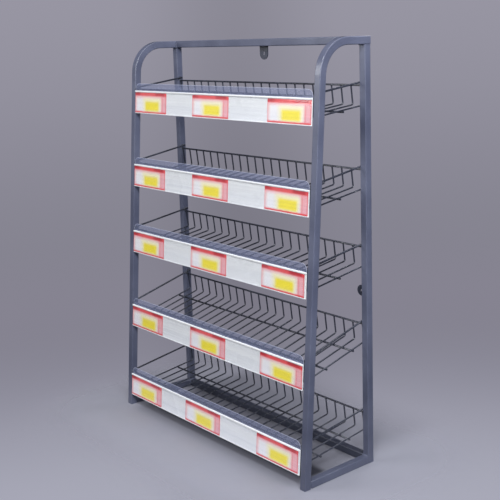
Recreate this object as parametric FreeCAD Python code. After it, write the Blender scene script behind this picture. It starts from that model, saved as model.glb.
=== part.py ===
import FreeCAD, Part
import math
import os

# A free-standing wire-basket display rack: two bent-tube side frames, five tiers of
# wire baskets between them, and a price channel with three loose cards on each tier.
# Millimetres. +X runs to the customer's right, +Y to the back and +Z up. The origin is
# on the floor, in the middle of the footprint.

# Frame
HEIGHT = 1100.0
WIDTH = 806.0
DEPTH = 246.0
TUBE = 20.0
TUBE_WALL = 1.2
TUBE_CORNER = 2.4
LEG_SLOPE = 0.0744          # how far the legs' front face moves back for each mm of height
ARCH_RADIUS = 84.0          # centreline of the bend at the top of each leg

# Fixing tabs, welded to the frame for a screw or a cable tie
TAB_THICKNESS = 2.5
TAB_SLOT_WIDTH = 6.0
TAB_SLOT_LENGTH = 11.0
TOP_TAB_WIDTH = 33.0
TOP_TAB_REACH = 36.5
TOP_TAB_SLOT_OFFSET = 19.4  # slot centre from the tube that carries the tab
TOP_TAB_X = 8.0
SIDE_TAB_WIDTH = 28.0
SIDE_TAB_REACH = 28.5
SIDE_TAB_SLOT_OFFSET = 13.0
SIDE_TAB_Z = 458.0

# Baskets, from the top tier to the bottom one
CHANNEL_TOPS = (959.4, 742.6, 543.5, 316.4, 100.2)  # height of each price channel's white top edge
FLOOR_FRONTS = (912.6, 695.9, 494.8, 268.3, 56.7)   # height of each floor at its front bend
FLOOR_SLOPES = (6.5, 8.6, 8.8, 14.7, 7.4)           # degrees, each floor rises to the back
BACK_BEND_YS = (118.0, 116.0, 118.0, 115.0, 113.0)  # where each floor turns up the back wall
CROSS_WIRE_YS = ((48.0, -18.0), (34.0, -36.0), (29.0, -50.0), (73.0, -22.0), (56.0, -47.0))
FLOOR_WIRE = 4.0
FLOOR_WIRE_COUNT = 23
FLOOR_WIRE_SPAN = 760.0     # between the centres of the two outermost floor wires
WIRE_BEND = 5.0
BACK_WALL_RISE = 49.0
BACK_WALL_SLOPE = 7.0       # degrees, the back wall tips forward
BACK_RAIL = 5.0
FRONT_RAIL = 5.0
FRONT_RAIL_RISE = 3.6       # from a channel's top edge up to the centre of the front rail
SIDE_WIRE = 5.0
SIDE_WIRE_LIFT = 3.0        # gap under each side wire where it passes over the back rail
CROSS_WIRE = 5.0

# Price channels and cards
CHANNEL_LENGTH = 760.0
CHANNEL_HEIGHT = 66.0
FLAP_HEIGHT = 20.9          # clear flap that stands above the channel's white top edge
FLAP_CORNER = 17.0
CHANNEL_SETBACK = 1.5       # from the legs' front face back to the channel's rear face
BACK_PLATE = 1.5
FLAP = 0.8
CARD_SLOT = 1.2
COVER = 0.8
COVER_TOP = 61.6
FLOOR_LIP = 2.0
TOP_LIP_HEIGHT = 6.5
TOP_LIP_DEPTH = 4.5
TOP_LIP_WALL = 0.7
TOP_LIP_CAP = 4.0
CARD_WIDTH = 160.0
CARD_HEIGHT = 56.5
CARD_THICKNESS = 0.6
CARD_CLEARANCE = 0.25
CARD_CENTRES = (
    (-300.0, -16.0, 299.0),
    (-300.0, -10.0, 298.0),
    (-300.0, -9.0, 295.0),
    (-300.0, -5.0, 299.0),
    (-300.0, -20.0, 295.0),
)
CARD_PLACES = ("left", "middle", "right")

HALF_WIDTH = WIDTH / 2
HALF_DEPTH = DEPTH / 2
INNER_X = HALF_WIDTH - TUBE
TUBE_X = HALF_WIDTH - TUBE / 2
POST_FRONT_Y = HALF_DEPTH - TUBE
LEAN = math.atan(LEG_SLOPE)
TOUCH_GAP = 0.05            # keeps two round pieces that touch from sharing volume
STUB_SETBACK = CHANNEL_SETBACK + (FLOOR_WIRE / 2 + TOUCH_GAP) / math.cos(LEAN)
RAIL_SETBACK = CHANNEL_SETBACK + (FRONT_RAIL / 2 + TOUCH_GAP) / math.cos(LEAN)
SIDE_WIRE_X = INNER_X - SIDE_WIRE / 2

Vector = FreeCAD.Vector
X_AXIS = Vector(1, 0, 0)
SIDES = {"left": -1, "right": 1}


def leg_face_y(z):
    """Y of the legs' leaning front face at height z."""
    return -HALF_DEPTH + LEG_SLOPE * z


def filleted_path(points, radius):
    """A wire of straight runs joined by tangent arcs of one radius."""
    edges = []
    start = points[0]
    for before, corner, after in zip(points, points[1:], points[2:]):
        arriving = (corner - before).normalize()
        leaving = (after - corner).normalize()
        turn = arriving.getAngle(leaving)
        trim = radius * math.tan(turn / 2)
        arc_start = corner - arriving * trim
        arc_end = corner + leaving * trim
        inward = (leaving - arriving).normalize()
        centre = corner + inward * (radius / math.cos(turn / 2))
        edges.append(Part.LineSegment(start, arc_start).toShape())
        edges.append(Part.Arc(arc_start, centre - inward * radius, arc_end).toShape())
        start = arc_end
    edges.append(Part.LineSegment(start, points[-1]).toShape())
    return Part.Wire(edges)


def round_bar(points, diameter, bend=0.0):
    """A round bar along the points, with its corners bent to the radius given."""
    direction = points[1] - points[0]
    if len(points) == 2:
        return Part.makeCylinder(diameter / 2, direction.Length, points[0], direction)
    profile = Part.Wire(Part.makeCircle(diameter / 2, points[0], direction))
    return filleted_path(points, bend).makePipe(Part.Face(profile))


def rounded_square(side, corner, centre, direction):
    """A square face with round corners, centred on a point and square to a direction."""
    plate = Part.makeBox(side, side, 1.0, Vector(-side / 2, -side / 2, 0))
    upright = [edge for edge in plate.Edges if abs(edge.tangentAt(edge.FirstParameter).z) > 0.9]
    plate = plate.makeFillet(corner, upright)
    face = min(plate.Faces, key=lambda candidate: candidate.CenterOfMass.z)
    turn = FreeCAD.Rotation(Vector(0, 0, 1), direction)
    return face.transformed(FreeCAD.Placement(centre, turn).toMatrix(), True)


def tube_along(points, bend=0.0, start_inset=0.0, end_inset=0.0):
    """A hollow square tube along the points; an inset leaves that end closed by its wall."""
    first = (points[1] - points[0]).normalize()
    last = (points[-1] - points[-2]).normalize()
    bore_points = list(points)
    bore_points[0] = points[0] + first * start_inset
    bore_points[-1] = points[-1] - last * end_inset
    outer_face = rounded_square(TUBE, TUBE_CORNER, points[0], first)
    inner_side = TUBE - 2 * TUBE_WALL
    inner_face = rounded_square(inner_side, TUBE_CORNER - TUBE_WALL, bore_points[0], first)
    outer = filleted_path(points, bend).makePipe(outer_face)
    inner = filleted_path(bore_points, bend).makePipe(inner_face)
    return outer.cut(inner)


def bent_leg(side):
    """A leg that leans back, bends over the top and ends above its rear post."""
    x = side * TUBE_X
    half_thickness = TUBE / 2 / math.cos(LEAN)
    arm_z = HEIGHT - TUBE / 2
    below_floor = -TUBE
    foot = Vector(x, leg_face_y(below_floor) + half_thickness, below_floor)
    shoulder = Vector(x, leg_face_y(arm_z) + half_thickness, arm_z)
    arm_end = Vector(x, HALF_DEPTH, arm_z)
    leg = tube_along([foot, shoulder, arm_end], ARCH_RADIUS, end_inset=TUBE_WALL)
    ground = Part.makeBox(2 * TUBE, DEPTH, 2 * TUBE, Vector(x - TUBE, -1.5 * HALF_DEPTH, -2 * TUBE))
    return leg.cut(ground)


def rear_post(side):
    x = side * TUBE_X
    y = HALF_DEPTH - TUBE / 2
    return tube_along([Vector(x, y, 0), Vector(x, y, HEIGHT - TUBE)])


def base_rail(side):
    """A rail on the floor from the back of a leg to the front of its post."""
    x = side * TUBE_X
    leg_back = leg_face_y(TUBE) + TUBE / math.cos(LEAN)
    return tube_along([Vector(x, leg_back, TUBE / 2), Vector(x, POST_FRONT_Y, TUBE / 2)])


def rear_rail(centre_z):
    y = HALF_DEPTH - TUBE / 2
    return tube_along([Vector(-INNER_X, y, centre_z), Vector(INNER_X, y, centre_z)])


def fixing_tab(width, reach, slot_offset):
    """A round-ended tab that hangs down from z = 0 behind the y = 0 plane, with its slot."""
    end_radius = width / 2
    square_part = reach - end_radius
    plate = Part.makeBox(width, TAB_THICKNESS, square_part, Vector(-end_radius, 0, -square_part))
    round_end = Part.makeCylinder(end_radius, TAB_THICKNESS, Vector(0, 0, -square_part), Vector(0, 1, 0))
    slot_radius = TAB_SLOT_WIDTH / 2
    half_straight = TAB_SLOT_LENGTH / 2 - slot_radius
    through = Vector(0, 1, 0)
    depth = 3 * TAB_THICKNESS
    slot = Part.makeBox(TAB_SLOT_WIDTH, depth, 2 * half_straight, Vector(-slot_radius, 0, -half_straight))
    for end in (-half_straight, half_straight):
        slot = slot.fuse(Part.makeCylinder(slot_radius, depth, Vector(0, 0, end), through))
    slot.translate(Vector(0, -TAB_THICKNESS, -slot_offset))
    return plate.fuse(round_end).cut(slot).removeSplitter()


def top_fixing_tab():
    tab = fixing_tab(TOP_TAB_WIDTH, TOP_TAB_REACH, TOP_TAB_SLOT_OFFSET)
    tab.translate(Vector(TOP_TAB_X, HALF_DEPTH - TUBE_CORNER - TAB_THICKNESS, HEIGHT - TUBE))
    return tab


def side_fixing_tab(side):
    """A smaller tab turned to reach inwards from a rear post."""
    tab = fixing_tab(SIDE_TAB_WIDTH, SIDE_TAB_REACH, SIDE_TAB_SLOT_OFFSET)
    tab.rotate(Vector(0, 0, 0), Vector(0, 1, 0), 90 * side)
    tab.translate(Vector(side * INNER_X, HALF_DEPTH - TUBE_CORNER - TAB_THICKNESS, SIDE_TAB_Z))
    return tab


class Basket:
    """The heights and depths that one tier's wires share."""

    def __init__(self, tier):
        self.front_rail_z = CHANNEL_TOPS[tier] + FRONT_RAIL_RISE
        self.front_rail_y = leg_face_y(self.front_rail_z) + RAIL_SETBACK
        self.front_z = FLOOR_FRONTS[tier]
        self.front_y = leg_face_y(self.front_z) + STUB_SETBACK
        self.slope = math.tan(math.radians(FLOOR_SLOPES[tier]))
        self.bend_y = BACK_BEND_YS[tier]
        self.bend_z = self.floor_z(self.bend_y)
        self.back_rail_z = self.bend_z + BACK_WALL_RISE
        self.back_rail_y = self.bend_y - BACK_WALL_RISE * math.tan(math.radians(BACK_WALL_SLOPE))
        self.cross_ys = CROSS_WIRE_YS[tier]

    def floor_z(self, y):
        """Height of the floor wires' centreline at a depth."""
        return self.front_z + self.slope * (y - self.front_y)

    def floor_wire(self, x):
        """One wire: down the back wall, along the floor and up behind the price channel."""
        bend = Vector(x, self.bend_y, self.bend_z)
        wall_top = Vector(x, self.back_rail_y, self.back_rail_z)
        under_back_rail = wall_top + (bend - wall_top).normalize() * (BACK_RAIL / 2 + TOUCH_GAP)
        stub_z = self.front_rail_z - FRONT_RAIL / 2 - FLOOR_WIRE / 2 * math.sin(LEAN) - TOUCH_GAP
        stub_top = Vector(x, leg_face_y(stub_z) + STUB_SETBACK, stub_z)
        points = [under_back_rail, bend, Vector(x, self.front_y, self.front_z), stub_top]
        return round_bar(points, FLOOR_WIRE, WIRE_BEND)

    def floor_wires(self):
        pitch = FLOOR_WIRE_SPAN / (FLOOR_WIRE_COUNT - 1)
        wires = [self.floor_wire(-FLOOR_WIRE_SPAN / 2 + index * pitch) for index in range(FLOOR_WIRE_COUNT)]
        return Part.makeCompound(wires)

    def back_rail(self):
        ends = [Vector(side * INNER_X, self.back_rail_y, self.back_rail_z) for side in (-1, 1)]
        return round_bar(ends, BACK_RAIL)

    def front_rail(self):
        ends = [Vector(side * INNER_X, self.front_rail_y, self.front_rail_z) for side in (-1, 1)]
        return round_bar(ends, FRONT_RAIL)

    def side_wires(self):
        """A straight wire on each side, from the top of the front rail over the back rail."""
        run = self.back_rail_y - self.front_rail_y
        rise = self.back_rail_z - self.front_rail_z + SIDE_WIRE_LIFT
        slant = math.hypot(run, rise) / run
        front_z = self.front_rail_z + (FRONT_RAIL + SIDE_WIRE) / 2 * slant + TOUCH_GAP
        rear_z = self.back_rail_z + (BACK_RAIL + SIDE_WIRE) / 2 * slant + SIDE_WIRE_LIFT
        end_y = HALF_DEPTH - SIDE_WIRE
        end_z = front_z + (rear_z - front_z) * (end_y - self.front_rail_y) / run
        wires = []
        for side in (-1, 1):
            x = side * SIDE_WIRE_X
            start = Vector(x, self.front_rail_y, front_z)
            wires.append(round_bar([start, Vector(x, end_y, end_z)], SIDE_WIRE))
        return Part.makeCompound(wires)

    def cross_wires(self):
        """Two straight wires across the underside of the floor wires."""
        below = (FLOOR_WIRE + CROSS_WIRE) / 2 * math.sqrt(1 + self.slope ** 2) + TOUCH_GAP
        half_length = (FLOOR_WIRE_SPAN + FLOOR_WIRE) / 2
        wires = []
        for y in self.cross_ys:
            ends = [Vector(side * half_length, y, self.floor_z(y) - below) for side in (-1, 1)]
            wires.append(round_bar(ends, CROSS_WIRE))
        return Part.makeCompound(wires)


def lean_back(shape, tier):
    """Tip a shape drawn upright at the channel's rear bottom edge into its place on a tier."""
    bottom_z = CHANNEL_TOPS[tier] - CHANNEL_HEIGHT * math.cos(LEAN)
    shape.rotate(Vector(0, 0, 0), X_AXIS, -math.degrees(LEAN))
    shape.translate(Vector(0, leg_face_y(bottom_z) + CHANNEL_SETBACK, bottom_z))
    return shape


def clear_flap():
    """The flap above the channel, drawn upright, with its two upper corners rounded."""
    corner = Vector(-CHANNEL_LENGTH / 2, -FLAP, CHANNEL_HEIGHT)
    plate = Part.makeBox(CHANNEL_LENGTH, FLAP, FLAP_HEIGHT, corner)
    middle_z = CHANNEL_HEIGHT + FLAP_HEIGHT / 2
    upper = [edge for edge in plate.Edges if edge.Length < 2 * FLAP and edge.CenterOfMass.z > middle_z]
    return plate.makeFillet(FLAP_CORNER, upper)


def price_channel(tier):
    """A plastic extrusion: back plate, card slot, cover with its free edge under a lip, and flap."""
    slot_front = BACK_PLATE + CARD_SLOT
    cover_front = slot_front + COVER
    lip_bottom = CHANNEL_HEIGHT - TOP_LIP_HEIGHT
    lip_inside = TOP_LIP_DEPTH - TOP_LIP_WALL
    cap_bottom = CHANNEL_HEIGHT - TOP_LIP_CAP
    outline = [
        (0, 0),
        (cover_front, 0),
        (cover_front, COVER_TOP),
        (slot_front, COVER_TOP),
        (slot_front, FLOOR_LIP),
        (BACK_PLATE, FLOOR_LIP),
        (BACK_PLATE, cap_bottom),
        (lip_inside, cap_bottom),
        (lip_inside, lip_bottom),
        (TOP_LIP_DEPTH, lip_bottom),
        (TOP_LIP_DEPTH, CHANNEL_HEIGHT),
        (0, CHANNEL_HEIGHT),
    ]
    corners = [Vector(-CHANNEL_LENGTH / 2, -forward, up) for forward, up in outline]
    face = Part.Face(Part.makePolygon(corners + corners[:1]))
    body = face.extrude(X_AXIS * CHANNEL_LENGTH)
    return lean_back(body.fuse(clear_flap()).removeSplitter(), tier)


def price_card(tier, centre_x):
    """A printed card that stands in the channel's slot and slides along it."""
    back_y = -BACK_PLATE - (CARD_SLOT - CARD_THICKNESS) / 2
    corner = Vector(centre_x - CARD_WIDTH / 2, back_y - CARD_THICKNESS, FLOOR_LIP + CARD_CLEARANCE)
    return lean_back(Part.makeBox(CARD_WIDTH, CARD_THICKNESS, CARD_HEIGHT, corner), tier)


def frame_parts():
    parts = {
        "top_rear_rail": rear_rail(HEIGHT - TUBE / 2),
        "bottom_rear_rail": rear_rail(TUBE / 2),
        "top_fixing_tab": top_fixing_tab(),
    }
    for name, side in SIDES.items():
        parts[name + "_bent_leg"] = bent_leg(side)
        parts[name + "_rear_post"] = rear_post(side)
        parts[name + "_base_rail"] = base_rail(side)
        parts[name + "_side_fixing_tab"] = side_fixing_tab(side)
    return parts


def tier_parts(tier):
    basket = Basket(tier)
    number = str(tier + 1)
    parts = {
        "basket_" + number + "_floor_wires": basket.floor_wires(),
        "basket_" + number + "_back_rail": basket.back_rail(),
        "basket_" + number + "_front_rail": basket.front_rail(),
        "basket_" + number + "_side_wires": basket.side_wires(),
        "basket_" + number + "_cross_wires": basket.cross_wires(),
        "price_channel_" + number: price_channel(tier),
    }
    for place, centre_x in zip(CARD_PLACES, CARD_CENTRES[tier]):
        parts["price_card_" + number + "_" + place] = price_card(tier, centre_x)
    return parts


def main():
    parts = frame_parts()
    for tier in range(len(CHANNEL_TOPS)):
        parts.update(tier_parts(tier))
    os.makedirs("parts", exist_ok=True)
    for name, shape in parts.items():
        shape.exportStep("parts/" + name + ".step")
        print(name, len(shape.Solids), "solids", round(shape.Volume), "mm3", shape.isValid())


main()
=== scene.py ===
import math

import bmesh
import bpy
from mathutils import Matrix, Vector, noise


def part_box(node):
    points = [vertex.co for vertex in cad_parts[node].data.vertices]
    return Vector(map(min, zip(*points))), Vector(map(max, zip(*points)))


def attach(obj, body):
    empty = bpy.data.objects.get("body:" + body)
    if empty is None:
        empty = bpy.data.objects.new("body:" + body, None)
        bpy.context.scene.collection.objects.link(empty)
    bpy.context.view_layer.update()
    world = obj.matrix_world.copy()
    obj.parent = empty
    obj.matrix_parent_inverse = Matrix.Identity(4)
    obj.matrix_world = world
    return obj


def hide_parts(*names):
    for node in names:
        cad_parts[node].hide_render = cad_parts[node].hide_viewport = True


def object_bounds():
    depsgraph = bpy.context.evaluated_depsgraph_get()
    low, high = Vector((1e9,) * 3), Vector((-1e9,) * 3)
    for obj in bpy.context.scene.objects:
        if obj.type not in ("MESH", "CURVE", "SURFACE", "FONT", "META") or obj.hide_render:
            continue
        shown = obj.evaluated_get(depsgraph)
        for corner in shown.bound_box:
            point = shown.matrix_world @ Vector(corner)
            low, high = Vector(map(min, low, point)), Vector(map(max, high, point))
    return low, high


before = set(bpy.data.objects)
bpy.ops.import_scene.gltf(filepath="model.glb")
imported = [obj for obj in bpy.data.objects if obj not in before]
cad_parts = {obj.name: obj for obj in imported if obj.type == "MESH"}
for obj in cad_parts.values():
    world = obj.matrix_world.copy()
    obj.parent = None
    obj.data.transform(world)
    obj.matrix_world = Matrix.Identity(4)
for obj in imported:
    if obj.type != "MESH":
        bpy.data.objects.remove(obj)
CAD_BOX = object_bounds()

MM = 0.001
TIERS = range(1, 6)
PLACES = ("left", "middle", "right")
RACK = "rack"

# Sizes that the CAD model shares, in metres
TUBE = 20 * MM
TUBE_CORNER = 2.4 * MM
FLOOR_WIRE = 4 * MM
FLOOR_WIRE_COUNT = 23
RAIL = 5 * MM
CHANNEL_HEIGHT = 66 * MM
FLAP_HEIGHT = 20.9 * MM
FLAP_CORNER = 17 * MM

# Sizes of the detailed pieces
FLAP_FOOT = CHANNEL_HEIGHT - 0.3 * MM
FLAP_THICKNESS = 0.75 * MM
FLAP_RIM = 1.3 * MM
FLAP_BOW = 0.15 * MM
CHANNEL_WAVE = 0.12 * MM
CARD_HEIGHT = 58.3 * MM
CARD_THICKNESS = 0.5 * MM
CARD_CORNER = 2.0 * MM
CARD_MIDDLE = 2.1 * MM
CARD_SINK = 0.1 * MM
CARD_BOW = 0.10 * MM
BEAD_RADIUS = 2.2 * MM
BEAD_EDGE = 2.6 * MM
BEAD_SIDES = 10
SMOOTH_ANGLE = math.radians(35)

# Steps back from a floor rail's front end and how far its outline is drawn in there
FRONT_END = ((0.0, 4.0 * MM), (0.8 * MM, 2.2 * MM), (2.0 * MM, 0.8 * MM), (3.8 * MM, 0.0))

# Half-sizes of the weld lumps in millimetres: across, along and up
CROSS_LUMP = (2.5, 2.7, 1.3)
BACK_RAIL_LUMP = (2.5, 2.4, 1.4)
FRONT_RAIL_LUMP = (2.5, 2.2, 1.4)
SIDE_TOP_LUMP = (2.6, 3.0, 1.4)
SIDE_FRONT_LUMP = (1.6, 6.0, 3.2)
SIDE_BACK_LUMP = (1.6, 7.0, 3.2)
RAIL_END_LUMP = (1.5, 4.2, 4.2)


# ---------------------------------------------------------------- node helpers

class Shader:
    """A node tree with short calls for the nodes this script uses."""

    def __init__(self, owner, output="ShaderNodeOutputMaterial"):
        owner.use_nodes = True
        self.owner = owner
        self.tree = owner.node_tree
        self.tree.nodes.clear()
        self.output = self.add(output)

    def add(self, kind, **settings):
        node = self.tree.nodes.new(kind)
        for key, value in settings.items():
            setattr(node, key, value)
        return node

    def feed(self, socket, value):
        """Link another node's output to the socket, or set the socket to a plain value."""
        if isinstance(value, bpy.types.NodeSocket):
            self.tree.links.new(value, socket)
        else:
            socket.default_value = value

    def set(self, node, **values):
        for key, value in values.items():
            self.feed(node.inputs[key.replace("_", " ")], value)
        return node

    def coordinates(self, kind="Object"):
        return self.add("ShaderNodeTexCoord").outputs[kind]

    def split(self, vector):
        node = self.add("ShaderNodeSeparateXYZ")
        self.feed(node.inputs[0], vector)
        return node.outputs

    def scaled(self, vector, scale):
        return self.set(self.add("ShaderNodeMapping"), Vector=vector, Scale=scale).outputs["Vector"]

    def noise(self, vector, scale, detail=2.0, roughness=0.5):
        node = self.add("ShaderNodeTexNoise")
        return self.set(node, Vector=vector, Scale=scale, Detail=detail, Roughness=roughness).outputs["Fac"]

    def math(self, operation, first, second=0.0):
        node = self.add("ShaderNodeMath", operation=operation)
        for socket, value in zip(node.inputs, (first, second)):
            self.feed(socket, value)
        return node.outputs[0]

    def product(self, first, second):
        return self.math("MULTIPLY", first, second)

    def remap(self, value, low, high, to_low=0.0, to_high=1.0, curve="SMOOTHSTEP"):
        node = self.add("ShaderNodeMapRange", interpolation_type=curve)
        self.set(node, Value=value, From_Min=low, From_Max=high, To_Min=to_low, To_Max=to_high)
        return node.outputs["Result"]

    def band(self, value, low, high, soft):
        """1 where value lies between low and high, with soft edges."""
        rise = self.remap(value, low - soft, low + soft)
        fall = self.remap(value, high + soft, high - soft)
        return self.product(rise, fall)

    def mix(self, factor, first, second):
        node = self.add("ShaderNodeMix", data_type="RGBA")
        factor_socket, first_socket, second_socket = node.inputs[0], node.inputs[6], node.inputs[7]
        self.feed(factor_socket, factor)
        self.feed(first_socket, first)
        self.feed(second_socket, second)
        return node.outputs[2]

    def bump(self, height, distance, strength=1.0, normal=None):
        node = self.set(self.add("ShaderNodeBump"), Height=height, Distance=distance, Strength=strength)
        if normal is not None:
            self.feed(node.inputs["Normal"], normal)
        return node.outputs["Normal"]

    def principled(self, **values):
        return self.set(self.add("ShaderNodeBsdfPrincipled"), **values).outputs["BSDF"]

    def clear(self, tint=(1, 1, 1, 1)):
        return self.set(self.add("ShaderNodeBsdfTransparent"), Color=tint).outputs[0]

    def blend(self, factor, first, second):
        """A mixture of two shaders."""
        node = self.add("ShaderNodeMixShader")
        for socket, value in zip(node.inputs, (factor, first, second)):
            self.feed(socket, value)
        return node.outputs[0]

    def finish(self, shader):
        self.feed(self.output.inputs["Surface"], shader)
        return self.owner


def new_material(name):
    return Shader(bpy.data.materials.new(name))


# ------------------------------------------------------------------- materials

STEEL_DARK = (0.088, 0.096, 0.150, 1.0)
STEEL_LIGHT = (0.124, 0.134, 0.201, 1.0)
# A darker copy of the steel paint, painted shade for parts in the rack's own shade
SHADED_DARK = (0.028, 0.031, 0.050, 1.0)
SHADED_LIGHT = (0.044, 0.048, 0.074, 1.0)
# The wires' slate paint, darkened well below the steel's as painted shade
WIRE_SHADED_DARK = (0.020, 0.022, 0.034, 1.0)
WIRE_SHADED_LIGHT = (0.040, 0.044, 0.066, 1.0)
# Painted shade that the powder paint darkens towards near the floor
LOW_PAINTED_SHADE = (0.012, 0.014, 0.024, 1.0)
PVC_DARK = (0.85, 0.855, 0.885, 1.0)
PVC_LIGHT = (0.93, 0.935, 0.95, 1.0)
PVC_GRIME = (0.60, 0.60, 0.62, 1.0)
# Painted shade that greys the lower half of the white PVC
PVC_LOWER_SHADE = (0.58, 0.61, 0.72, 1.0)
# The flap's cut rim, frosted and paled as a painted highlight
RIM_DARK = (0.42, 0.44, 0.60, 1.0)
RIM_LIGHT = (0.58, 0.60, 0.76, 1.0)
COVER_TINT = (0.990, 0.992, 0.997, 1.0)
COVER_HAZE = (0.85, 0.87, 0.92, 1.0)
FLAP_TINT = (0.86, 0.87, 0.89, 1.0)
FLAP_HAZE = (0.40, 0.44, 0.68, 1.0)
CARD_WHITE = (0.93, 0.91, 0.95, 1.0)
CARD_CREAM = (0.98, 0.90, 0.82, 1.0)
CARD_PINK = (0.92, 0.36, 0.42, 1.0)
CARD_RED = (0.84, 0.030, 0.038, 1.0)
CARD_DEEP_RED = (0.52, 0.010, 0.025, 1.0)
CARD_PALE_YELLOW = (1.0, 0.93, 0.55, 1.0)
CARD_YELLOW = (1.0, 0.83, 0.012, 1.0)
BOARD_DARK = (0.70, 0.69, 0.67, 1.0)
BOARD_LIGHT = (0.84, 0.83, 0.81, 1.0)

# Painted shade on the powder paint: the height below which it darkens, and how far
PAINTED_SHADE_BELOW = 0.45
PAINTED_SHADE_SHARE = 0.22
PVC_INDEX = 1.53
SHEEN_SHARE = 0.6


def powder_coat(name, dark, light, roughness, gloss_coat=0.12, coat_roughness=0.35):
    """Powder paint: fine orange peel, slow tone changes, rubbed patches, and painted shade that darkens it
    near the floor.
    """
    shader = new_material(name)
    place = shader.coordinates()
    cloud = shader.noise(place, 9.0, 4.0)
    grain = shader.noise(place, 420.0, 3.0, 0.6)
    tone = shader.math("ADD", shader.product(cloud, 0.75), shader.product(grain, 0.25))
    colour = shader.mix(shader.remap(tone, 0.35, 0.65), dark, light)
    scuffs = shader.noise(shader.scaled(place, (6.0, 6.0, 1.0)), 16.0, 6.0, 0.7)
    scuffs = shader.remap(scuffs, 0.62, 0.74)
    colour = shader.mix(shader.product(scuffs, 0.22), colour, light)
    # Painted shade: below 0.45 m the colour darkens towards the floor
    low_painted_shade = shader.remap(shader.split(place)["Z"], PAINTED_SHADE_BELOW, 0.0, 0.0, PAINTED_SHADE_SHARE)
    colour = shader.mix(low_painted_shade, colour, LOW_PAINTED_SHADE)
    gloss = shader.remap(cloud, 0.3, 0.7, roughness - 0.05, roughness + 0.06)
    gloss = shader.math("ADD", gloss, shader.product(scuffs, 0.10))
    peel = shader.noise(place, 900.0, 2.0, 0.5)
    normal = shader.bump(peel, 0.00012, 0.35)
    normal = shader.bump(cloud, 0.0012, 0.15, normal)
    return shader.finish(shader.principled(
        Base_Color=colour, Roughness=gloss, Specular_IOR_Level=0.5, Normal=normal,
        Coat_Weight=gloss_coat, Coat_Roughness=coat_roughness))


def weld_paint(name, dark, light):
    """The same paint pooled over a weld: darker in the hollows as painted shade, and glossier on the crests.
    """
    shader = new_material(name)
    lumps = shader.noise(shader.coordinates(), 260.0, 4.0, 0.6)
    # Painted shade: the colour darkens where the bump is low
    colour = shader.mix(shader.remap(lumps, 0.35, 0.7), dark, light)
    normal = shader.bump(lumps, 0.0004, 0.5)
    gloss = shader.remap(lumps, 0.3, 0.7, 0.30, 0.46)
    return shader.finish(shader.principled(Base_Color=colour, Roughness=gloss, Normal=normal))


def white_extrusion():
    """White PVC with faint draw lines along its length and scuffs, greyed in its lower half as painted shade.
    """
    shader = new_material("white_pvc")
    place = shader.coordinates()
    lines = shader.noise(shader.scaled(place, (1.5, 260.0, 260.0)), 1.0, 3.0, 0.55)
    cloud = shader.noise(place, 7.0, 3.0)
    grime = shader.remap(shader.noise(place, 38.0, 5.0, 0.65), 0.58, 0.76)
    colour = shader.mix(shader.remap(lines, 0.3, 0.7), PVC_DARK, PVC_LIGHT)
    colour = shader.mix(shader.product(grime, 0.18), colour, PVC_GRIME)
    # Painted shade: the lower half greys towards a bluish tone
    level = shader.split(shader.coordinates("Generated"))["Z"]
    level = shader.math("ADD", level, shader.product(cloud, 0.3))
    colour = shader.mix(shader.remap(level, 0.80, 0.50, 0.0, 0.16), colour, PVC_LOWER_SHADE)
    normal = shader.bump(lines, 0.0003, 0.25)
    gloss = shader.remap(cloud, 0.3, 0.7, 0.24, 0.36)
    return shader.finish(shader.principled(
        Base_Color=colour, Roughness=gloss, Normal=normal, Subsurface_Weight=0.12,
        Subsurface_Scale=0.004, Subsurface_Radius=(1.0, 1.0, 1.0)))


def clear_sheet(name, tint, haze_colour, least_haze, most_haze):
    """Thin clear PVC: see-through, with streaks of haze and a soft gloss on both faces."""
    shader = new_material(name)
    place = shader.coordinates()
    streaks = shader.noise(shader.scaled(place, (3.0, 120.0, 120.0)), 1.0, 4.0, 0.6)
    veil = shader.add("ShaderNodeBsdfDiffuse")
    shader.set(veil, Color=haze_colour, Normal=shader.bump(streaks, 0.0002, 0.3))
    haze = shader.remap(streaks, 0.35, 0.75, least_haze, most_haze)
    body = shader.blend(haze, shader.clear(tint), veil.outputs[0])
    sheen = shader.add("ShaderNodeBsdfGlossy")
    shader.set(sheen, Color=(1, 1, 1, 1), Roughness=shader.remap(streaks, 0.3, 0.7, 0.10, 0.22))
    behind = shader.add("ShaderNodeNewGeometry").outputs["Backfacing"]
    index = shader.math("SUBTRACT", PVC_INDEX, shader.product(behind, PVC_INDEX - 1 / PVC_INDEX))
    edge = shader.set(shader.add("ShaderNodeFresnel"), IOR=index).outputs[0]
    return shader.finish(shader.blend(shader.product(edge, SHEEN_SHARE), body, sheen.outputs[0]))


def cut_edge():
    """The cut rim of the clear flap: frosted, and pale as a painted highlight where the edge catches light.
    """
    shader = new_material("clear_pvc_rim")
    grain = shader.noise(shader.coordinates(), 600.0, 3.0, 0.6)
    colour = shader.mix(grain, RIM_DARK, RIM_LIGHT)
    # Frosted edge and painted highlight in one pale colour
    frost_and_highlight = shader.principled(Base_Color=colour, Roughness=0.35, Normal=shader.bump(grain, 0.0001, 0.4))
    return shader.finish(shader.blend(shader.remap(grain, 0.3, 0.7, 0.5, 0.7), shader.clear(), frost_and_highlight))


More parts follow.
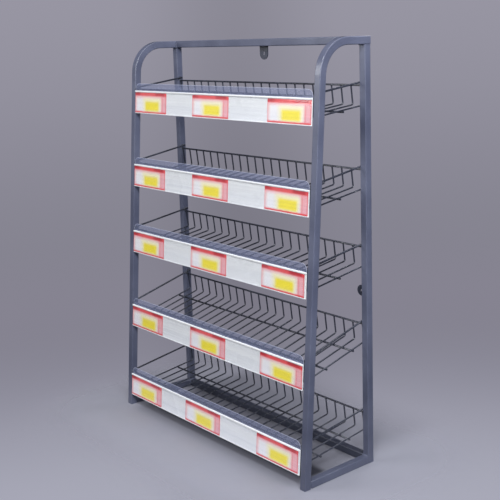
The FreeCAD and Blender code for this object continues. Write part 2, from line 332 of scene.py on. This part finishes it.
def card_print():
    """A price card's face: red header, soft red rules, a white and a cream field, a yellow block."""
    shader = new_material("card_print")
    face = shader.split(shader.coordinates("Generated"))
    drift = shader.noise(shader.coordinates(), 60.0, 2.0)
    across = shader.math("ADD", face["X"], shader.product(drift, 0.02))
    up = shader.math("ADD", face["Z"], shader.product(drift, 0.03))
    header = shader.remap(up, 0.84, 0.93)
    ends = shader.math("MAXIMUM", shader.remap(across, 0.24, 0.10), shader.band(across, 0.66, 0.95, 0.04))
    halo = shader.product(shader.band(across, 0.28, 0.82, 0.07), shader.band(up, 0.10, 0.74, 0.12))
    block = shader.product(shader.band(across, 0.34, 0.77, 0.05), shader.band(up, 0.12, 0.58, 0.10))
    rules = shader.math("MAXIMUM", shader.remap(across, 0.03, 0.01), shader.remap(across, 0.97, 0.99))
    rules = shader.math("MAXIMUM", shader.product(rules, 0.5), shader.remap(up, 0.12, 0.04))
    layers = (
        (shader.band(across, 0.06, 0.26, 0.06), 0.80, CARD_WHITE),
        (shader.remap(across, 0.78, 0.90), 0.80, CARD_PINK),
        (shader.band(across, 0.86, 0.89, 0.02), 0.45, CARD_RED),
        (shader.remap(across, 0.10, 0.02), 0.55, CARD_PINK),
        (shader.remap(up, 0.66, 0.84), 0.60, CARD_PINK),
        (shader.remap(up, 0.16, 0.06), 0.60, CARD_PINK),
        (shader.remap(up, 0.80, 0.90), 0.90, CARD_RED),
        (shader.product(header, ends), 0.90, CARD_DEEP_RED),
        (halo, 0.75, CARD_PALE_YELLOW),
        (block, 0.95, CARD_YELLOW),
        (rules, 0.95, CARD_RED),
    )
    colour = shader.mix(shader.remap(up, 0.20, 0.70), CARD_WHITE, CARD_CREAM)
    for mask, strength, paint in layers:
        colour = shader.mix(shader.product(mask, strength), colour, paint)
    fibre = shader.noise(shader.coordinates(), 900.0, 4.0, 0.7)
    colour = shader.mix(shader.remap(fibre, 0.3, 0.8, 0.0, 0.06), colour, CARD_WHITE)
    normal = shader.bump(fibre, 0.00005, 0.3)
    return shader.finish(shader.principled(Base_Color=colour, Roughness=0.42, Normal=normal))


def card_board():
    """The unprinted back and edges of a card."""
    shader = new_material("card_board")
    fibre = shader.noise(shader.coordinates(), 700.0, 5.0, 0.7)
    colour = shader.mix(fibre, BOARD_DARK, BOARD_LIGHT)
    return shader.finish(shader.principled(
        Base_Color=colour, Roughness=0.75, Normal=shader.bump(fibre, 0.0001, 0.4)))


# ----------------------------------------------------------------- mesh helpers

def new_piece(name, builder, materials, body=RACK):
    """Turn a finished builder into a smooth-shaded piece that rides on a body."""
    mesh = bpy.data.meshes.new(name)
    builder.normal_update()
    builder.to_mesh(mesh)
    builder.free()
    mesh.shade_smooth()
    mesh.set_sharp_from_angle(angle=SMOOTH_ANGLE)
    piece = bpy.data.objects.new(name, mesh)
    bpy.context.scene.collection.objects.link(piece)
    for material in materials:
        mesh.materials.append(material)
    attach(piece, body)
    return piece


def loft(builder, rings, side_materials=None, end_material=0):
    """Join rings of points into a closed skin; side_materials has one material index per side."""
    count = len(rings[0])
    for near, far in zip(rings, rings[1:]):
        for side in range(count):
            following = (side + 1) % count
            face = builder.faces.new((near[side], far[side], far[following], near[following]))
            face.material_index = side_materials[side] if side_materials else 0
    for ring in (rings[0], list(reversed(rings[-1]))):
        builder.faces.new(ring).material_index = end_material
    bmesh.ops.recalc_face_normals(builder, faces=builder.faces)


def stations_between(low, high, count):
    """Places from low to high that crowd together towards both ends."""
    return [low + (high - low) * (1 - math.cos(math.pi * step / count)) / 2 for step in range(count + 1)]


def corner_cut(radius, from_end):
    """How far a round corner cuts into a sheet at a distance from its end."""
    past = max(0.0, radius - from_end)
    return radius - math.sqrt(max(0.0, radius ** 2 - past ** 2))


def weld_bead(builder, points, radius, seed):
    """A rippled bead along a run of points, round in section, with its ends drawn to a point."""
    ripple = radius * 1.1
    runs = [(b - a).length for a, b in zip(points, points[1:])]
    total = sum(runs)
    steps = max(6, int(total / (ripple * 0.25)))
    turns = [2 * math.pi * k / BEAD_SIDES for k in range(BEAD_SIDES)]
    rings = []
    for step in range(steps + 1):
        distance = total * step / steps
        index = 0
        while index < len(runs) - 1 and distance > runs[index]:
            distance -= runs[index]
            index += 1
        along = (points[index + 1] - points[index]).normalized()
        centre = points[index] + along * distance
        side = along.orthogonal().normalized()
        up = along.cross(side)
        wave = 1.0 + 0.10 * math.sin(2 * math.pi * total * step / steps / ripple)
        lump = 1.0 + 0.16 * noise.noise(centre * 240.0 + Vector((seed, 0, 0)))
        end = math.sin(math.pi * min(1.0, max(0.04, 4.0 * min(step, steps - step) / steps)) / 2)
        size = radius * wave * lump * end
        rings.append([builder.verts.new(centre + (side * math.cos(a) + up * math.sin(a)) * size)
                      for a in turns])
    for low, high in zip(rings, rings[1:]):
        for k in range(BEAD_SIDES):
            following = (k + 1) % BEAD_SIDES
            builder.faces.new((low[k], low[following], high[following], high[k]))
    builder.faces.new(list(reversed(rings[0])))
    builder.faces.new(rings[-1])


def weld_lump(builder, centre, size, seed):
    """A small lump of weld where two wires cross; size is in millimetres."""
    made = bmesh.ops.create_icosphere(builder, subdivisions=2, radius=1.0)
    for vert in made["verts"]:
        lump = 1.0 + 0.12 * noise.noise(vert.co * 1.7 + Vector((seed * 3.1, seed * 1.3, 0)))
        vert.co = centre + Vector([part * share * MM for part, share in zip(vert.co, size)]) * lump


# ------------------------------------------------------- price channels and cards

top_channel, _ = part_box("price_channel_1")
bottom_channel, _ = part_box("price_channel_5")
LEAN = math.atan2(top_channel.y - bottom_channel.y, top_channel.z - bottom_channel.z)
FORWARD = Vector((0, -math.cos(LEAN), math.sin(LEAN)))
UPWARD = Vector((0, math.sin(LEAN), math.cos(LEAN)))

# Corners of the extrusion's body and cover in millimetres: forward, up and corner radius
BODY_OUTLINE = (
    (0, 0, 0.4), (2.75, 0, 0.0), (2.75, 2.0, 0.3), (1.5, 2.0, 0.3), (1.5, 62.8, 0.5), (3.6, 62.8, 0.2),
    (3.6, 61.8, 0.2), (4.0, 61.8, 0.2), (4.3, 65.0, 0.8), (3.2, 66.0, 0.6), (0, 66.0, 0.6),
)
COVER_OUTLINE = ((2.7, 0, 0.0), (3.5, 0, 0.35), (3.5, 61.6, 0.3), (2.7, 61.6, 0.3))
OUTLINE_STEPS = 4
EXTRUSION_STATIONS = 96
FLAP_STATIONS = 120
CARD_STATIONS = 40


def channel_origin(number):
    """The rear bottom edge of a price channel, at x = 0."""
    low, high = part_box(f"price_channel_{number}")
    return Vector((0, high.y - (CHANNEL_HEIGHT + FLAP_HEIGHT) * math.sin(LEAN), low.z))


def on_channel(origin, x, forward, up):
    return origin + Vector((x, 0, 0)) + FORWARD * forward + UPWARD * up


def rounded_outline(corners):
    """A closed outline through (forward, up, radius) corners, each turned by an arc."""
    outline = []
    for index, (forward, up, radius) in enumerate(corners):
        here = Vector((forward, up))
        before = Vector(corners[index - 1][:2]) - here
        after = Vector(corners[(index + 1) % len(corners)][:2]) - here
        if radius == 0:
            outline.append(here)
            continue
        start = here + before.normalized() * radius
        end = here + after.normalized() * radius
        for step in range(OUTLINE_STEPS + 1):
            t = step / OUTLINE_STEPS
            outline.append(start * (1 - t) ** 2 + here * 2 * t * (1 - t) + end * t ** 2)
    return outline


def extrusion(number, corners, name, material):
    """An outline drawn along the channel, with the slight waviness of thin extruded plastic."""
    low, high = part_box(f"price_channel_{number}")
    origin = channel_origin(number)
    outline = rounded_outline(corners)
    builder = bmesh.new()
    rings = []
    for station in range(EXTRUSION_STATIONS + 1):
        x = low.x + (high.x - low.x) * station / EXTRUSION_STATIONS
        drift = CHANNEL_WAVE * noise.noise(Vector((x * 9.0, number * 7.3, 0.0)))
        rings.append([builder.verts.new(on_channel(origin, x, p.x * MM + drift, p.y * MM))
                      for p in outline])
    loft(builder, rings)
    return new_piece(name, builder, [material])


def build_flap(number, clear, rim):
    """The clear flap above the white edge, with round upper corners and a pale rim."""
    low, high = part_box(f"price_channel_{number}")
    origin = channel_origin(number)
    builder = bmesh.new()
    rings = []
    for x in stations_between(low.x, high.x, FLAP_STATIONS):
        from_end = min(x - low.x, high.x - x)
        cut = corner_cut(FLAP_CORNER, from_end)
        top = CHANNEL_HEIGHT + FLAP_HEIGHT - cut
        slope = max(0.0, FLAP_CORNER - from_end) / max(FLAP_CORNER - cut, 0.15 * FLAP_CORNER)
        rim_drop = min(FLAP_RIM * math.hypot(1.0, slope), top - FLAP_FOOT - 0.2 * MM)
        bow = FLAP_BOW * (1 + noise.noise(Vector((x * 7.0, number * 5.1, 2.0))))
        section = ((0, FLAP_FOOT), (FLAP_THICKNESS, FLAP_FOOT), (FLAP_THICKNESS, top - rim_drop),
                   (FLAP_THICKNESS, top), (0, top))
        rings.append([builder.verts.new(on_channel(
            origin, x, forward + bow * (up - FLAP_FOOT) / FLAP_HEIGHT, up)) for forward, up in section])
    loft(builder, rings, side_materials=(0, 0, 1, 1, 0), end_material=1)
    flap = new_piece(f"price_channel_{number}_flap", builder, [clear, rim])


def build_channel(number, white, cover_clear, flap_clear, rim):
    """A price channel's white body, its clear cover and its clear flap."""
    name = f"price_channel_{number}"
    body = extrusion(number, BODY_OUTLINE, name + "_body", white)
    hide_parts(name)
    cover = extrusion(number, COVER_OUTLINE, name + "_cover", cover_clear)
    build_flap(number, flap_clear, rim)


def build_card(number, place, front, board):
    """A card with round corners and a slight bow, printed side forward."""
    node = f"price_card_{number}_{place}"
    low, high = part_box(node)
    origin = channel_origin(number)
    bottom = (low.z - origin.z) / math.cos(LEAN) - CARD_SINK
    builder = bmesh.new()
    rings = []
    for x in stations_between(low.x, high.x, CARD_STATIONS):
        cut = corner_cut(CARD_CORNER, min(x - low.x, high.x - x))
        bow = CARD_BOW * noise.noise(Vector((x * 14.0, number * 3.7, 5.0)))
        back = CARD_MIDDLE - CARD_THICKNESS / 2 + bow
        face = CARD_MIDDLE + CARD_THICKNESS / 2 + bow
        foot = bottom + cut
        head = bottom + CARD_HEIGHT - cut
        section = ((back, foot), (face, foot), (face, head), (back, head))
        rings.append([builder.verts.new(on_channel(origin, x, forward, up)) for forward, up in section])
    loft(builder, rings, side_materials=(1, 0, 1, 1), end_material=1)
    card = new_piece(node + "_print", builder, [front, board], f"card_{number}_{place}")
    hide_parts(node)


# ------------------------------------------------------------------- floor rails

LEAST_BEND = 0.3 * MM
BEND_STEPS = 5


def rounded_square(radius, inset):
    """Corners of the tube's outline about its axis, drawn in by inset."""
    half = TUBE / 2 - inset
    bend = max(radius - inset, LEAST_BEND)
    outline = []
    for quarter in range(4):
        turn = quarter * math.pi / 2
        middle = Vector((half - bend, half - bend))
        middle.rotate(Matrix.Rotation(turn, 2))
        for step in range(BEND_STEPS + 1):
            angle = turn + math.pi / 2 * step / BEND_STEPS
            outline.append(middle + Vector((math.cos(angle), math.sin(angle))) * bend)
    return outline


def build_floor_rail(side_name, paint):
    """A floor rail whose front end is rounded over, leaving a dark seam against the leg."""
    node = side_name + "_base_rail"
    low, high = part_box(node)
    axis_x, axis_z = (low.x + high.x) / 2, (low.z + high.z) / 2
    builder = bmesh.new()
    rings = []
    for back, inset in FRONT_END + ((high.y - low.y, 0.0),):
        rings.append([builder.verts.new((axis_x + p.x, low.y + back, axis_z + p.y))
                      for p in rounded_square(TUBE_CORNER, inset)])
    loft(builder, rings)
    piece = new_piece(node + "_tube", builder, [paint])
    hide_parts(node)


# ------------------------------------------------------------------------ welds

def wire_positions(number):
    """The x of each floor wire of a basket."""
    low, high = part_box(f"basket_{number}_floor_wires")
    first = low.x + FLOOR_WIRE / 2
    pitch = (high.x - low.x - FLOOR_WIRE) / (FLOOR_WIRE_COUNT - 1)
    return [first + pitch * index for index in range(FLOOR_WIRE_COUNT)]


def basket_welds(number, paint):
    """Resistance-weld lumps at every crossing of one basket's wires."""
    builder = bmesh.new()
    cross_low, cross_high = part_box(f"basket_{number}_cross_wires")
    back_low, back_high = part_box(f"basket_{number}_back_rail")
    front_low, front_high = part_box(f"basket_{number}_front_rail")
    side_low, side_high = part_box(f"basket_{number}_side_wires")
    back, front = (back_low + back_high) / 2, (front_low + front_high) / 2
    half_rail = RAIL / 2
    rows = (
        (cross_low.y + half_rail, cross_low.z + RAIL, CROSS_LUMP),
        (cross_high.y - half_rail, cross_high.z, CROSS_LUMP),
        (back.y + 0.3 * MM, back.z - half_rail, BACK_RAIL_LUMP),
        (front.y - 0.3 * MM, front.z - half_rail, FRONT_RAIL_LUMP),
    )
    for row, (y, z, size) in enumerate(rows):
        for index, x in enumerate(wire_positions(number)):
            weld_lump(builder, Vector((x, y, z)), size, number * 97 + row * 31 + index)
    for side in (-1, 1):
        wire_x = side * (side_high.x - half_rail)
        post_x = wire_x + side * 1.6 * MM
        ends = (
            ((wire_x, front.y + 1.5 * MM, front.z + half_rail), SIDE_TOP_LUMP),
            ((post_x, front.y + 4 * MM, side_low.z + half_rail), SIDE_FRONT_LUMP),
            ((post_x, side_high.y - 6 * MM, side_high.z - half_rail), SIDE_BACK_LUMP),
            ((side * back_high.x, back.y, back.z), RAIL_END_LUMP),
            ((side * front_high.x, front.y, front.z), RAIL_END_LUMP),
        )
        for order, (centre, size) in enumerate(ends):
            weld_lump(builder, Vector(centre), size, number * 7 + order + side)
    piece = new_piece(f"basket_{number}_welds", builder, [paint])


def frame_welds(paint):
    """Rippled beads in the corners where the frame's tubes and tabs meet."""
    edge = BEAD_EDGE
    builder = bmesh.new()
    top_low, top_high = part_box("top_rear_rail")
    base_low, base_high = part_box("bottom_rear_rail")
    seed = 0
    for side, name in ((-1, "left"), (1, "right")):
        x = side * top_high.x
        outer = side * (top_high.x + TUBE - edge)
        inner = side * (top_high.x + edge)
        rail_low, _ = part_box(name + "_base_rail")
        tab_low, tab_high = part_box(name + "_side_fixing_tab")
        runs = (
            ((x, top_low.y, top_high.z - edge), (x, top_low.y, top_low.z), (x, top_high.y - edge, top_low.z)),
            ((x, base_low.y, edge), (x, base_low.y, base_high.z), (x, base_high.y - edge, base_high.z)),
            ((inner, base_low.y, TUBE), (outer, base_low.y, TUBE)),
            ((inner, base_low.y, top_low.z), (outer, base_low.y, top_low.z)),
            ((inner, rail_low.y, TUBE), (outer, rail_low.y, TUBE)),
            ((x, tab_low.y, tab_low.z + edge), (x, tab_low.y, tab_high.z - edge)),
        )
        for run in runs:
            seed += 1
            weld_bead(builder, [Vector(point) for point in run], BEAD_RADIUS, seed)
    tab_low, tab_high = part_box("top_fixing_tab")
    tab_root = [Vector((x, tab_low.y, tab_high.z)) for x in (tab_low.x + edge, tab_high.x - edge)]
    weld_bead(builder, tab_root, BEAD_RADIUS * 0.8, seed + 1)
    piece = new_piece("frame_welds", builder, [paint])


# ------------------------------------------------------------- camera and studio

CAMERA_PLACE = (1.98877, -1.56792, 1.09836)
CAMERA_YAW = math.radians(49.574)
CAMERA_PITCH = math.radians(-10.003)
CAMERA_ROLL = math.radians(-1.551)
CAMERA_SENSOR = 36.0
CAMERA_LENS = 67.461
CAMERA_SHIFT = (-0.03638, -0.09115)
CAMERA_NEAR = 0.05

FLOOR_RADIUS = 6.0
FLOOR_DARK = (0.285, 0.284, 0.337, 1.0)
FLOOR_LIGHT = (0.298, 0.297, 0.352, 1.0)
FLOOR_SHADE = (0.02, 0.02, 0.03, 1.0)
FOOTPRINT = (0.76, 0.32)
FLOOR_FADE = (0.03, 0.34)
UNDER_HALF = 0.355

# Backdrop colours by the height of the direction that they are seen in
BACKDROP = (
    (-0.50, (0.413, 0.418, 0.503)), (-0.43, (0.381, 0.384, 0.462)), (-0.38, (0.319, 0.317, 0.386)),
    (-0.34, (0.258, 0.254, 0.314)), (-0.30, (0.231, 0.223, 0.275)), (-0.26, (0.242, 0.231, 0.287)),
    (-0.20, (0.232, 0.227, 0.275)), (-0.12, (0.262, 0.254, 0.309)), (-0.05, (0.287, 0.279, 0.337)),
    (0.05, (0.319, 0.309, 0.371)),
)
# Painted shadow of the rack on the backdrop: a darker band near the middle of the view
SHADOW_DIP_OFFSET = 0.03
SHADOW_DIP_WIDTH = 0.12
SHADOW_DIP_LEVEL = 0.84
FILL_COLOUR = (0.80, 0.83, 1.0, 1.0)
FILL_STRENGTH = 0.03

# Softboxes: name, place, target, size, power in watts and colour
LIGHTS = (
    ("key_light", (1.85, -1.6, 2.9), (0, 0, 0.5), (0.7, 0.7), 66, (0.98, 1.0, 1.0)),
    ("right_front_light", (3.1, -1.35, 1.9), (0, 0, 0.6), (1.2, 1.6), 84, (0.92, 0.96, 1.0)),
    ("left_front_light", (-1.6, -2.6, 1.9), (0, 0, 0.5), (1.4, 1.4), 52, (0.99, 1.0, 1.0)),
    ("rear_light", (0.1, 1.25, 1.75), (0, 0, 0.2), (0.8, 0.5), 9, (0.95, 0.96, 1.0)),
    ("top_light", (0.0, 0.1, 3.2), (0, 0, 0.3), (2.6, 2.0), 20, (1.0, 1.0, 1.0)),
    ("right_light", (1.7, 0.4, 2.0), (0, 0, 0.5), (0.8, 0.8), 10, (0.88, 0.92, 1.0)),
)


def build_camera():
    """The photographer's standpoint: to the right of the rack at eye height, a little rolled."""
    level = Vector((math.cos(CAMERA_YAW), math.sin(CAMERA_YAW), 0))
    forward = Vector((-math.sin(CAMERA_YAW), math.cos(CAMERA_YAW), 0))
    ahead = forward * math.cos(CAMERA_PITCH) + Vector((0, 0, math.sin(CAMERA_PITCH)))
    above = level.cross(ahead)
    right = level * math.cos(CAMERA_ROLL) + above * math.sin(CAMERA_ROLL)
    upright = above * math.cos(CAMERA_ROLL) - level * math.sin(CAMERA_ROLL)
    data = bpy.data.cameras.new("camera")
    data.sensor_width = CAMERA_SENSOR
    data.lens = CAMERA_LENS
    data.shift_x, data.shift_y = CAMERA_SHIFT
    data.clip_start = CAMERA_NEAR
    camera = bpy.data.objects.new("camera", data)
    bpy.context.scene.collection.objects.link(camera)
    turn = Matrix((right, upright, -ahead)).transposed().to_4x4()
    camera.matrix_world = Matrix.Translation(CAMERA_PLACE) @ turn
    bpy.context.scene.camera = camera


def floor_paper():
    """Pale paper, shaded under and close before the rack, that fades out away from it."""
    shader = new_material("floor_paper")
    place = shader.coordinates()
    front = CAD_BOX[0].y
    axes = shader.split(place)
    squares = []
    for axis, size in zip("XY", FOOTPRINT):
        past = shader.math("SUBTRACT", shader.math("ABSOLUTE", axes[axis]), size / 2)
        past = shader.math("MAXIMUM", past, 0.0)
        squares.append(shader.product(past, past))
    fade = shader.remap(shader.math("SQRT", shader.math("ADD", *squares)), *FLOOR_FADE)
    # Each shaded area: softness of its ends, its mask from front to back and its depth
    shades = (
        (0.05, shader.remap(axes["Y"], front - 0.07, front + 0.035), 0.32),
        (0.03, shader.band(axes["Y"], front, -front, 0.03), 0.28),
        (0.012, shader.band(axes["Y"], front + 0.045, front + 0.115, 0.014), 0.90),
    )
    colour = shader.mix(shader.noise(place, 30.0, 3.0), FLOOR_DARK, FLOOR_LIGHT)
    for soft, mask, depth in shades:
        mask = shader.product(shader.band(axes["X"], -UNDER_HALF, UNDER_HALF, soft), mask)
        colour = shader.mix(shader.product(mask, depth), colour, FLOOR_SHADE)
    paper = shader.principled(Base_Color=colour, Roughness=0.9, Specular_IOR_Level=0.2)
    return shader.finish(shader.blend(fade, paper, shader.clear()))


def build_floor():
    builder = bmesh.new()
    bmesh.ops.create_circle(builder, cap_ends=True, segments=96, radius=FLOOR_RADIUS)
    mesh = bpy.data.meshes.new("floor")
    builder.to_mesh(mesh)
    builder.free()
    mesh.materials.append(floor_paper())
    floor = bpy.data.objects.new("floor", mesh)
    bpy.context.scene.collection.objects.link(floor)


def build_backdrop():
    """Grey studio paper toned by direction, which only the camera sees, with a painted shadow of the rack
    near the middle of the view, and a weak even fill.
    """
    shader = Shader(bpy.data.worlds.new("studio"), "ShaderNodeOutputWorld")
    direction = shader.coordinates("Generated")
    lowest, highest = BACKDROP[0][0], BACKDROP[-1][0]
    height = shader.remap(shader.split(direction)["Z"], lowest, highest, curve="LINEAR")
    tone = shader.set(shader.add("ShaderNodeValToRGB"), Fac=height)
    tone.color_ramp.interpolation = "B_SPLINE"
    stops = tone.color_ramp.elements
    while len(stops) < len(BACKDROP):
        stops.new(0.5)
    for stop, (rise, colour) in zip(stops, BACKDROP):
        stop.position = (rise - lowest) / (highest - lowest)
        stop.color = (*colour, 1)
    sideways = shader.add("ShaderNodeVectorMath", operation="DOT_PRODUCT")
    shader.feed(sideways.inputs[0], direction)
    shader.feed(sideways.inputs[1], (math.cos(CAMERA_YAW), math.sin(CAMERA_YAW), 0))
    # Painted shadow of the rack: the backdrop darkens in a band near the middle of the view
    from_shadow_dip = shader.math("ABSOLUTE", shader.math("ADD", sideways.outputs["Value"], SHADOW_DIP_OFFSET))
    shadow_dip = shader.remap(from_shadow_dip, 0.0, SHADOW_DIP_WIDTH, SHADOW_DIP_LEVEL, 1.0)
    seen = shader.set(shader.add("ShaderNodeBackground"), Color=tone.outputs["Color"], Strength=shadow_dip)
    fill = shader.set(shader.add("ShaderNodeBackground"), Color=FILL_COLOUR, Strength=FILL_STRENGTH)
    by_camera = shader.add("ShaderNodeLightPath").outputs["Is Camera Ray"]
    world = shader.finish(shader.blend(by_camera, fill.outputs[0], seen.outputs[0]))
    bpy.context.scene.world = world


def softbox(name, place, target, size, power, colour):
    data = bpy.data.lights.new(name, "AREA")
    data.shape = "RECTANGLE"
    data.size, data.size_y = size
    data.energy = power
    data.color = colour
    light = bpy.data.objects.new(name, data)
    bpy.context.scene.collection.objects.link(light)
    light.location = place
    light.rotation_euler = (Vector(target) - Vector(place)).to_track_quat("-Z", "Y").to_euler()


# ------------------------------------------------------------------------- build

# Nodes that get the darker copy of the steel paint as painted shade
SHADE_PAINTED_NODES = ("bottom_rear_rail", "top_fixing_tab", "left_side_fixing_tab", "right_side_fixing_tab")


def paint_nodes(steel, wire, shaded):
    """Give every carried-over CAD node its paint; the rear bottom rail and the fixing tabs get the darker
    copy, which is painted shade.
    """
    for name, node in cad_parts.items():
        paint = wire if name.startswith("basket") else shaded if name in SHADE_PAINTED_NODES else steel
        for material_slot in node.material_slots:
            material_slot.material = paint


def main():
    bpy.context.scene.view_settings.view_transform = "Standard"
    build_camera()
    build_floor()
    build_backdrop()
    for settings in LIGHTS:
        softbox(*settings)
    steel = powder_coat("steel_powder_coat", STEEL_DARK, STEEL_LIGHT, 0.38, 0.35, 0.17)
    # The wires carry the steel's slate paint, darkened here as painted shade
    wire = powder_coat("wire_shade_painted_coat", WIRE_SHADED_DARK, WIRE_SHADED_LIGHT, 0.24, 1.0, 0.16)
    # The steel paint darkened as painted shade, for the rear bottom rail and the tabs
    shaded = powder_coat("painted_shade_powder_coat", SHADED_DARK, SHADED_LIGHT, 0.38)
    paint_nodes(steel, wire, shaded)
    white, front, board, rim = white_extrusion(), card_print(), card_board(), cut_edge()
    cover_clear = clear_sheet("cover_pvc", COVER_TINT, COVER_HAZE, 0.0, 0.03)
    flap_clear = clear_sheet("flap_pvc", FLAP_TINT, FLAP_HAZE, 0.16, 0.24)
    wire_weld = weld_paint("wire_weld_shade_painted", WIRE_SHADED_DARK, WIRE_SHADED_LIGHT)
    for number in TIERS:
        build_channel(number, white, cover_clear, flap_clear, rim)
        for place in PLACES:
            build_card(number, place, front, board)
        basket_welds(number, wire_weld)
    for side_name in ("left", "right"):
        build_floor_rail(side_name, steel)
    frame_welds(weld_paint("frame_weld_paint", STEEL_DARK, STEEL_LIGHT))


main()
